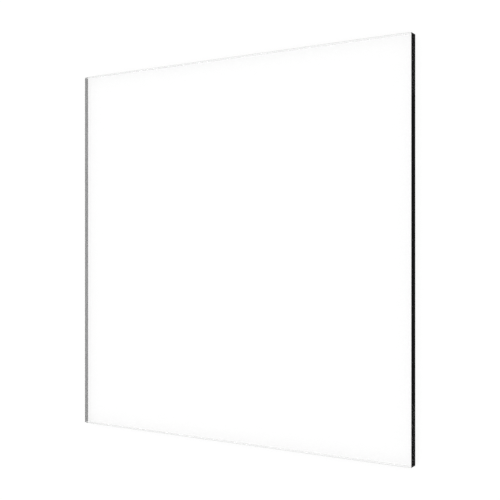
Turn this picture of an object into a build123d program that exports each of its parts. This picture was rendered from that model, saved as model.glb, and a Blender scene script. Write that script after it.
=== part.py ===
"""Clear acrylic sheet: one square piece cut from 6 mm cast stock, with polished edges.

The sheet lies flat. Its underside is on z = 0 and its centre is over the origin, so +Z is the
outward normal of the top face, and X and Y run along the cut sides. All sizes are in millimetres.

Cast stock comes with two glass-smooth faces that are never machined. Cutting to size leaves four
square sides. Polishing them flat turns a thin burr over each rim, and a scraper takes that off at
45 degrees, all round both faces and down the four upright corners. So each side is a flat polished
land between two narrow bevels, and that section is the whole form of the piece.
"""

import os

from build123d import *

# Driving dimensions
SHEET_LENGTH = 250.0  # side along X
SHEET_WIDTH = 250.0  # side along Y
SHEET_THICKNESS = 6.0  # between the two cast faces
RIM_BREAK = 0.15  # leg of the scraped 45 degree bevel round both faces
CORNER_BREAK = 0.25  # leg of the scraped 45 degree bevel down each upright corner

PARTS_FOLDER = "parts"


def cut_outline() -> Sketch:
    """Plan view of the cut piece: a rectangle whose four corners are broken at 45 degrees."""
    with BuildSketch(Plane.XY) as outline:
        Rectangle(SHEET_LENGTH, SHEET_WIDTH)
        chamfer(outline.vertices(), CORNER_BREAK)
    return outline.sketch


def acrylic_sheet() -> Part:
    """The whole sheet: the outline at the stock's thickness, with both rims broken."""
    with BuildPart() as sheet:
        add(cut_outline())
        extrude(amount=SHEET_THICKNESS)
        underside = sheet.faces().sort_by(Axis.Z)[0]
        top_face = sheet.faces().sort_by(Axis.Z)[-1]
        chamfer(underside.edges() + top_face.edges(), RIM_BREAK)
    return sheet.part


def main() -> None:
    """Write one STEP file for each piece, named as its node."""
    os.makedirs(PARTS_FOLDER, exist_ok=True)
    pieces = {"acrylic_sheet": acrylic_sheet()}
    for name, solid in pieces.items():
        export_step(solid, os.path.join(PARTS_FOLDER, f"{name}.step"))


main()
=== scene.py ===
"""Looks of the clear acrylic sheet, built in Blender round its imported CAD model.

One square of clear cast acrylic lies flat on a pale studio floor. Everything is in metres and in
the CAD model's own frame: the underside is on z = 0, +Z points out of the top face, and X and Y
run along the cut sides. In the picture +X points to the right and +Y up.
"""

import logging
import math
from dataclasses import dataclass
from enum import Enum

import bmesh
import bpy
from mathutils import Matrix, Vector


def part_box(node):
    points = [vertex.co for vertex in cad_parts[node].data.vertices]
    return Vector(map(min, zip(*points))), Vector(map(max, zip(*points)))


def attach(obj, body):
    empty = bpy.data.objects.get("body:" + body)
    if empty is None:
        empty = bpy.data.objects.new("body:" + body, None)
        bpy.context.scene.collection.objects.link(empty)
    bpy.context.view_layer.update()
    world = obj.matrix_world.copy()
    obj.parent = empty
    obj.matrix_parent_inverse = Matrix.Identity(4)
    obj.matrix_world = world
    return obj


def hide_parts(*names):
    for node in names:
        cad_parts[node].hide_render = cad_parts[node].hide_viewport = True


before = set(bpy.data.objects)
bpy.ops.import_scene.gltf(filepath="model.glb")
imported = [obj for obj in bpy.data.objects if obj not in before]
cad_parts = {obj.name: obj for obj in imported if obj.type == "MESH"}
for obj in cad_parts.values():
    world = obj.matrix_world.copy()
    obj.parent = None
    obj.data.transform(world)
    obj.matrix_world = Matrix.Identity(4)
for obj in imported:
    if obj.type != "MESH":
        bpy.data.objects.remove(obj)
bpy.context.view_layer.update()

logging.basicConfig(level=logging.INFO, format="%(message)s")
log = logging.getLogger("acrylic_sheet_scene")

MM = 0.001
CAD_NODE = "acrylic_sheet"
BODY = "root"

# The index of refraction of acrylic.
ACRYLIC_IOR = 1.49

# A normal or an edge runs along an axis when more than this share of it does.
SQUARE_ON = 0.99

SocketValue = float | tuple[float, ...] | bpy.types.NodeSocket


class Surface(Enum):
    """The kinds of surface on the sheet. The value is the number of the mesh's material slot."""

    CAST_FACE = 0
    POLISHED_LAND = 1
    SCRAPED_BEVEL = 2

    @classmethod
    def facing(cls, normal: Vector) -> "Surface":
        """Tell the kind of surface by the way that it faces.

        Args:
            normal: The surface's outward normal, of length 1.

        Returns:
            A cast face where the normal runs along Z, a land where it runs along X or Y, and
            otherwise a bevel.
        """
        if abs(normal.z) > SQUARE_ON:
            return cls.CAST_FACE
        if max(abs(normal.x), abs(normal.y)) > SQUARE_ON:
            return cls.POLISHED_LAND
        return cls.SCRAPED_BEVEL


class Ray(Enum):
    """The kinds of ray that are told apart, each by its Light Path output."""

    CAMERA = "Is Camera Ray"
    MIRRORED = "Is Glossy Ray"
    THROUGH = "Is Transmission Ray"
    SCATTERED = "Is Diffuse Ray"
    SHADOW = "Is Shadow Ray"


# The rays that look at the studio, straight or by way of a glossy or clear surface.
LOOKING = (Ray.CAMERA, Ray.MIRRORED, Ray.THROUGH)

# The rays that find the light falling on a matt surface, from all round and from a lamp.
LIGHTING = (Ray.SCATTERED, Ray.SHADOW)


def linear(hex_code: str) -> tuple[float, float, float, float]:
    """Turn an sRGB hex colour to linear, by the curve of the sRGB standard.

    Args:
        hex_code: Six hex digits, two each for red, green and blue.

    Returns:
        Linear red, green and blue, and an alpha of 1.
    """
    channels = [int(hex_code[i : i + 2], 16) / 255 for i in (0, 2, 4)]
    red, green, blue = (c / 12.92 if c <= 0.04045 else ((c + 0.055) / 1.055) ** 2.4 for c in channels)
    return red, green, blue, 1.0


def add_node(
    tree: bpy.types.NodeTree,
    kind: str,
    inputs: dict[str | int, SocketValue] | None = None,
    **settings: object,
) -> bpy.types.Node:
    """Add a node with its settings, values and links.

    Args:
        tree: Node tree that takes the node.
        kind: Blender's type name of the node.
        inputs: A value, or the socket to link, for each input by its name or number.
        **settings: Values for the node's own properties.

    Returns:
        The new node.
    """
    node = tree.nodes.new(kind)
    for name, value in settings.items():
        setattr(node, name, value)
    for name, value in (inputs or {}).items():
        if isinstance(value, bpy.types.NodeSocket):
            tree.links.new(value, node.inputs[name])
        else:
            node.inputs[name].default_value = value
    return node


def switch_for(tree: bpy.types.NodeTree, rays: tuple[Ray, ...]) -> bpy.types.NodeSocket:
    """Add the nodes that give 1 to some kinds of ray and 0 to all others.

    Args:
        tree: Node tree that takes the nodes.
        rays: The kinds of ray that get the 1.

    Returns:
        The socket with the 1 or the 0.
    """
    path = add_node(tree, "ShaderNodeLightPath")
    total: bpy.types.NodeSocket = path.outputs[rays[0].value]
    for ray in rays[1:]:
        joined = add_node(
            tree, "ShaderNodeMath", {0: total, 1: path.outputs[ray.value]}, operation="MAXIMUM"
        )
        total = joined.outputs[0]
    return total


def empty_material(name: str) -> bpy.types.Material:
    """Make a material whose node tree is empty.

    Args:
        name: Name of the finish.

    Returns:
        The new material.
    """
    material = bpy.data.materials.new(name)
    material.use_nodes = True
    material.node_tree.nodes.clear()
    return material


def deselect_all() -> None:
    """Leave edit mode and deselect every object, the CAD nodes among them."""
    if bpy.context.object and bpy.context.object.mode != "OBJECT":
        bpy.ops.object.mode_set(mode="OBJECT")
    bpy.ops.object.select_all(action="DESELECT")


@dataclass(frozen=True)
class CastAcrylicFace:
    """Cell-cast acrylic as it leaves the glass mould: clear, glossy and very slightly wavy.

    The eye sees straight through it to the floor, and only the broad, faint waves of the casting
    move what the face mirrors. The light that falls on the floor goes straight through as well, and
    each face takes about 4 percent of it, so the sheet casts next to no shadow.
    """

    colour: str = "FEFEFE"
    wave_length: float = 45 * MM
    wave_height: float = 0.05 * MM
    wave_detail: float = 1.0
    light_let_through: str = "FAFAFA"

    def material(self) -> bpy.types.Material:
        """Build the material of both cast faces.

        Returns:
            The new material.
        """
        material = empty_material("cast_acrylic_face")
        tree = material.node_tree
        place = add_node(tree, "ShaderNodeTexCoord").outputs["Object"]
        waves = add_node(
            tree,
            "ShaderNodeTexNoise",
            {"Vector": place, "Scale": 1 / self.wave_length, "Detail": self.wave_detail},
        )
        bump = add_node(
            tree, "ShaderNodeBump", {"Distance": self.wave_height, "Height": waves.outputs["Fac"]}
        )
        acrylic = add_node(
            tree,
            "ShaderNodeBsdfPrincipled",
            {
                "Base Color": linear(self.colour),
                "Roughness": 0.0,
                "IOR": ACRYLIC_IOR,
                "Transmission Weight": 1.0,
                "Normal": bump.outputs["Normal"],
            },
        )
        # A clear shader with an index of refraction would hold the floor's light back.
        opening = add_node(
            tree, "ShaderNodeBsdfTransparent", {"Color": linear(self.light_let_through)}
        )
        surface = add_node(
            tree,
            "ShaderNodeMixShader",
            {0: switch_for(tree, LIGHTING), 1: acrylic.outputs["BSDF"], 2: opening.outputs["BSDF"]},
        )
        add_node(tree, "ShaderNodeOutputMaterial", {"Surface": surface.outputs["Shader"]})
        return material


@dataclass(frozen=True)
class Glance:
    """Painted shade: how much light a surface gives back, by how far from head on the eye meets it.

    Both slants are Layer Weight's Facing: 0 is head on, and 1 is along the surface.
    """

    first_slant: float
    first_share: float
    last_slant: float
    last_share: float

    def painted_shade(self, tree: bpy.types.NodeTree, slant: bpy.types.NodeSocket) -> bpy.types.NodeSocket:
        """Add the node that turns a slant into a share.

        Args:
            tree: Node tree that takes the node.
            slant: Socket with the slant.

        Returns:
            The socket with the share.
        """
        ramp = add_node(
            tree,
            "ShaderNodeMapRange",
            {
                "Value": slant,
                "From Min": self.first_slant,
                "From Max": self.last_slant,
                "To Min": self.first_share,
                "To Max": self.last_share,
            },
            interpolation_type="SMOOTHSTEP",
        )
        return ramp.outputs["Result"]


@dataclass(frozen=True)
class ToolMarks:
    """Faint marks that a tool leaves on a cut edge, drawn as a noise in long patches.

    The marks of a polishing disc or a scraper are some hundredths of a millimetre across, too fine
    for the picture to show, so they are drawn as coarse as they need to be to show. The run and
    the rise are a patch's length along the edge and up it, the height is that of its bump, and the
    dimming is the share of light that the strongest mark takes.
    """

    run: float
    rise: float
    height: float
    dimming: float

    def noise(self, tree: bpy.types.NodeTree) -> bpy.types.NodeSocket:
        """Add the nodes of the pattern, which runs along X and Y alike and climbs along Z.

        Args:
            tree: Node tree that takes the nodes.

        Returns:
            The socket with the pattern, from 0 to 1.
        """
        place = add_node(tree, "ShaderNodeTexCoord").outputs["Object"]
        stretched = add_node(
            tree,
            "ShaderNodeMapping",
            {"Vector": place, "Scale": (1 / self.run, 1 / self.run, 1 / self.rise)},
        )
        noise = add_node(
            tree, "ShaderNodeTexNoise", {"Vector": stretched.outputs["Vector"], "Scale": 1.0}
        )
        return noise.outputs["Fac"]


@dataclass(frozen=True)
class CutEdge:
    """A cut side of the sheet, flat-polished on its land or scraped on its bevels.

    From outside, one looks the long way through the sheet, and the edge's glass colour is darkened
    to nearly black on a pale floor, which is painted shade. From inside, through a cast face, it is a
    mirror whose colour is darkened so that it gives back only part of the light, also painted shade:
    mid grey where one looks into it, and pale where one looks along it. The scatter is the share
    of the light that a frosted surface spreads. The marks dim an edge only from outside.
    """

    name: str
    roughness: float
    outside: Glance
    inside: Glance
    marks: ToolMarks
    scatter: float

    def painted_shade(self, tree: bpy.types.NodeTree, noise: bpy.types.NodeSocket) -> bpy.types.NodeSocket:
        """Add the nodes of the painted shade, the share of light that the edge gives back.

        Args:
            tree: Node tree that takes the nodes.
            noise: Socket with the pattern of the marks.

        Returns:
            The socket with the share.
        """
        slant = add_node(tree, "ShaderNodeLayerWeight").outputs["Facing"]
        from_inside = add_node(tree, "ShaderNodeNewGeometry").outputs["Backfacing"]
        kept = add_node(
            tree,
            "ShaderNodeMapRange",
            {"Value": noise, "To Min": 1.0, "To Max": 1.0 - self.marks.dimming},
        )
        marked = add_node(
            tree,
            "ShaderNodeMath",
            {0: self.outside.painted_shade(tree, slant), 1: kept.outputs["Result"]},
            operation="MULTIPLY",
        )
        painted_shade = add_node(
            tree,
            "ShaderNodeMix",
            {"Factor": from_inside, "A": marked.outputs[0], "B": self.inside.painted_shade(tree, slant)},
            data_type="FLOAT",
        )
        return painted_shade.outputs["Result"]

    def material(self) -> bpy.types.Material:
        """Build the edge's material.

        Returns:
            The new material.
        """
        material = empty_material(self.name)
        tree = material.node_tree
        noise = self.marks.noise(tree)
        # The glass and frost colour is painted shade, set by the slant and the side, with the tool
        # marks' random dimming on top.
        painted_shade = self.painted_shade(tree, noise)
        bump = add_node(tree, "ShaderNodeBump", {"Distance": self.marks.height, "Height": noise})
        normal = bump.outputs["Normal"]
        acrylic = add_node(
            tree,
            "ShaderNodeBsdfGlass",
            {"Color": painted_shade, "Roughness": self.roughness, "IOR": ACRYLIC_IOR, "Normal": normal},
        )
        frost = add_node(tree, "ShaderNodeBsdfTranslucent", {"Color": painted_shade, "Normal": normal})
        surface = add_node(
            tree,
            "ShaderNodeMixShader",
            {0: self.scatter, 1: acrylic.outputs["BSDF"], 2: frost.outputs["BSDF"]},
        )
        add_node(tree, "ShaderNodeOutputMaterial", {"Surface": surface.outputs["Shader"]})
        return material


# Acrylic flat-polished with a fine disc. The eye gets a clear, glassy band with soft streaks, made dark
# by painted shade: nearly black from outside, mid grey to pale from inside.
POLISHED_LAND = CutEdge(
    name="polished_acrylic_edge",
    roughness=0.0,
    outside=Glance(first_slant=0.35, first_share=0.4, last_slant=0.62, last_share=0.055),
    inside=Glance(first_slant=0.58, first_share=0.29, last_slant=0.8, last_share=1.0),
    marks=ToolMarks(run=8 * MM, rise=0.8 * MM, height=0.01 * MM, dimming=0.25),
    scatter=0.02,
)

# Acrylic scraped at 45 degrees, which frosts it. The eye gets a fine, even line on each rim and corner,
# darkened by painted shade where it is seen head on.
SCRAPED_BEVEL = CutEdge(
    name="scraped_acrylic_bevel",
    roughness=0.15,
    outside=Glance(first_slant=0.15, first_share=0.05, last_slant=0.5, last_share=0.5),
    inside=Glance(first_slant=0.08, first_share=0.33, last_slant=0.2, last_share=1.0),
    marks=ToolMarks(run=1.5 * MM, rise=6 * MM, height=0.01 * MM, dimming=0.25),
    scatter=0.75,
)


@dataclass
class AcrylicSheet:
    """The sheet itself: two cast faces, four polished lands, and a scraped bevel on every edge."""

    low: Vector
    high: Vector
    rim_break: float = 0.15 * MM
    corner_break: float = 0.25 * MM
    face: CastAcrylicFace = CastAcrylicFace()
    land: CutEdge = POLISHED_LAND
    bevel: CutEdge = SCRAPED_BEVEL

    def build(self) -> bpy.types.Object:
        """Model the sheet, dress it and put it in the frame.

        Returns:
            The finished piece, which stands for the CAD node.
        """
        piece = self.block()
        self.break_edges(piece)
        self.dress(piece)
        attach(piece, BODY)
        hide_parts(CAD_NODE)
        return piece

    def block(self) -> bpy.types.Object:
        """Add the square block, at the size and place of the CAD node.

        Returns:
            The block, still with its sharp edges.
        """
        deselect_all()
        bpy.ops.mesh.primitive_cube_add(size=1.0, location=(self.low + self.high) / 2)
        piece = bpy.context.object
        piece.name = piece.data.name = "acrylic_sheet_clear"
        piece.scale = self.high - self.low
        bpy.ops.object.transform_apply(location=True, rotation=False, scale=True)
        return piece

    def break_edges(self, piece: bpy.types.Object) -> None:
        """Bevel the four upright corners, then the rims of both faces.

        Args:
            piece: The square block.
        """
        bpy.ops.object.mode_set(mode="EDIT")
        bpy.ops.mesh.select_mode(type="EDGE")
        for upright, leg in ((True, self.corner_break), (False, self.rim_break)):
            bpy.ops.mesh.select_all(action="DESELECT")
            mesh = bmesh.from_edit_mesh(piece.data)
            for edge in mesh.edges:
                run = (edge.verts[1].co - edge.verts[0].co).normalized()
                edge.select_set((abs(run.z) > SQUARE_ON) == upright)
            bmesh.update_edit_mesh(piece.data)
            bpy.ops.mesh.bevel(offset=leg, offset_type="OFFSET", segments=1, affect="EDGES")
        bpy.ops.object.mode_set(mode="OBJECT")

    def dress(self, piece: bpy.types.Object) -> None:
        """Give each face of the mesh its finish, by the way that it faces.

        Args:
            piece: The sheet with its edges broken.
        """
        finishes = {
            Surface.CAST_FACE: self.face,
            Surface.POLISHED_LAND: self.land,
            Surface.SCRAPED_BEVEL: self.bevel,
        }
        for surface in Surface:
            piece.data.materials.append(finishes[surface].material())
        for polygon in piece.data.polygons:
            polygon.material_index = Surface.facing(polygon.normal).value


@dataclass
class Studio:
    """A pale floor under a soft white sky, and the camera at the photograph's angle.

    The camera's place, tilt and focal length bring each corner of the sheet to where the photograph
    has it. The tilt is in degrees, and the focal length and the sensor's width are in millimetres.

    The light that the floor gives back and its own glow add up to a little more than plain white,
    so that the floor is still white where it is seen through the sheet, whose faces take a little.

    Light runs to and fro between the sheet's faces on its way from one edge to the other, so it is
    followed for more turns than an opaque thing needs.
    """

    camera_place: tuple[float, float, float] = (0.3095, 0.0, 0.4781)
    camera_tilt: float = 31.87
    focal_length: float = 62.61
    sensor_width: float = 36.0
    nearest_seen: float = 0.01
    farthest_seen: float = 100.0
    floor_drop: float = 0.3 * MM
    floor_side: float = 12.0
    floor_colour: str = "8D8D8D"
    floor_glow: float = 0.84
    sky_colour: str = "FFFFFF"
    sky_light: float = 0.75
    light_turns: int = 32

    def build(self) -> None:
        """Make the floor, the sky and the camera, and let light go far enough."""
        self.make_floor()
        self.make_sky()
        self.make_camera()
        self.follow_light()

    def make_floor(self) -> None:
        """Add the floor, a hair below the sheet so that the two surfaces don't share a plane."""
        deselect_all()
        bpy.ops.mesh.primitive_plane_add(size=self.floor_side, location=(0.0, 0.0, -self.floor_drop))
        floor = bpy.context.object
        floor.name = floor.data.name = "studio_floor"
        bpy.ops.object.transform_apply(location=True, rotation=False, scale=False)
        material = empty_material("white_paper_floor")
        tree = material.node_tree
        paper = add_node(tree, "ShaderNodeBsdfDiffuse", {"Color": linear(self.floor_colour)})
        strength = add_node(
            tree,
            "ShaderNodeMath",
            {0: switch_for(tree, LOOKING), 1: self.floor_glow},
            operation="MULTIPLY",
        )
        glow = add_node(tree, "ShaderNodeEmission", {"Strength": strength.outputs[0]})
        both = add_node(tree, "ShaderNodeAddShader", {0: paper.outputs[0], 1: glow.outputs[0]})
        add_node(tree, "ShaderNodeOutputMaterial", {"Surface": both.outputs[0]})
        floor.data.materials.append(material)

    def make_sky(self) -> None:
        """Light the scene from all round, and show plain white to the rays that look."""
        world = bpy.data.worlds.new("studio_sky")
        world.use_nodes = True
        tree = world.node_tree
        tree.nodes.clear()
        strength = add_node(
            tree,
            "ShaderNodeMapRange",
            {"Value": switch_for(tree, LOOKING), "To Min": self.sky_light, "To Max": 1.0},
        )
        sky = add_node(
            tree,
            "ShaderNodeBackground",
            {"Color": linear(self.sky_colour), "Strength": strength.outputs["Result"]},
        )
        add_node(tree, "ShaderNodeOutputWorld", {"Surface": sky.outputs[0]})
        bpy.context.scene.world = world

    def make_camera(self) -> None:
        """Add the camera, which looks down on the sheet along the photograph's line of sight."""
        deselect_all()
        bpy.ops.object.camera_add(
            location=self.camera_place, rotation=(0.0, math.radians(self.camera_tilt), 0.0)
        )
        camera = bpy.context.object
        camera.name = "photo_camera"
        camera.data.sensor_width = self.sensor_width
        camera.data.lens = self.focal_length
        camera.data.clip_start = self.nearest_seen
        camera.data.clip_end = self.farthest_seen
        bpy.context.scene.camera = camera

    def follow_light(self) -> None:
        """Follow light through the sheet for as many turns as it needs."""
        cycles = bpy.context.scene.cycles
        cycles.max_bounces = self.light_turns
        cycles.glossy_bounces = self.light_turns
        cycles.transmission_bounces = self.light_turns


def main() -> None:
    """Build the sheet and the studio round it."""
    bpy.context.scene.view_settings.view_transform = "Standard"
    low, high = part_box(CAD_NODE)
    sheet = AcrylicSheet(low, high)
    piece = sheet.build()
    log.info("%s: %d faces", piece.name, len(piece.data.polygons))
    Studio().build()
    log.info("studio: floor, sky and camera")


if __name__ == "__main__":
    main()
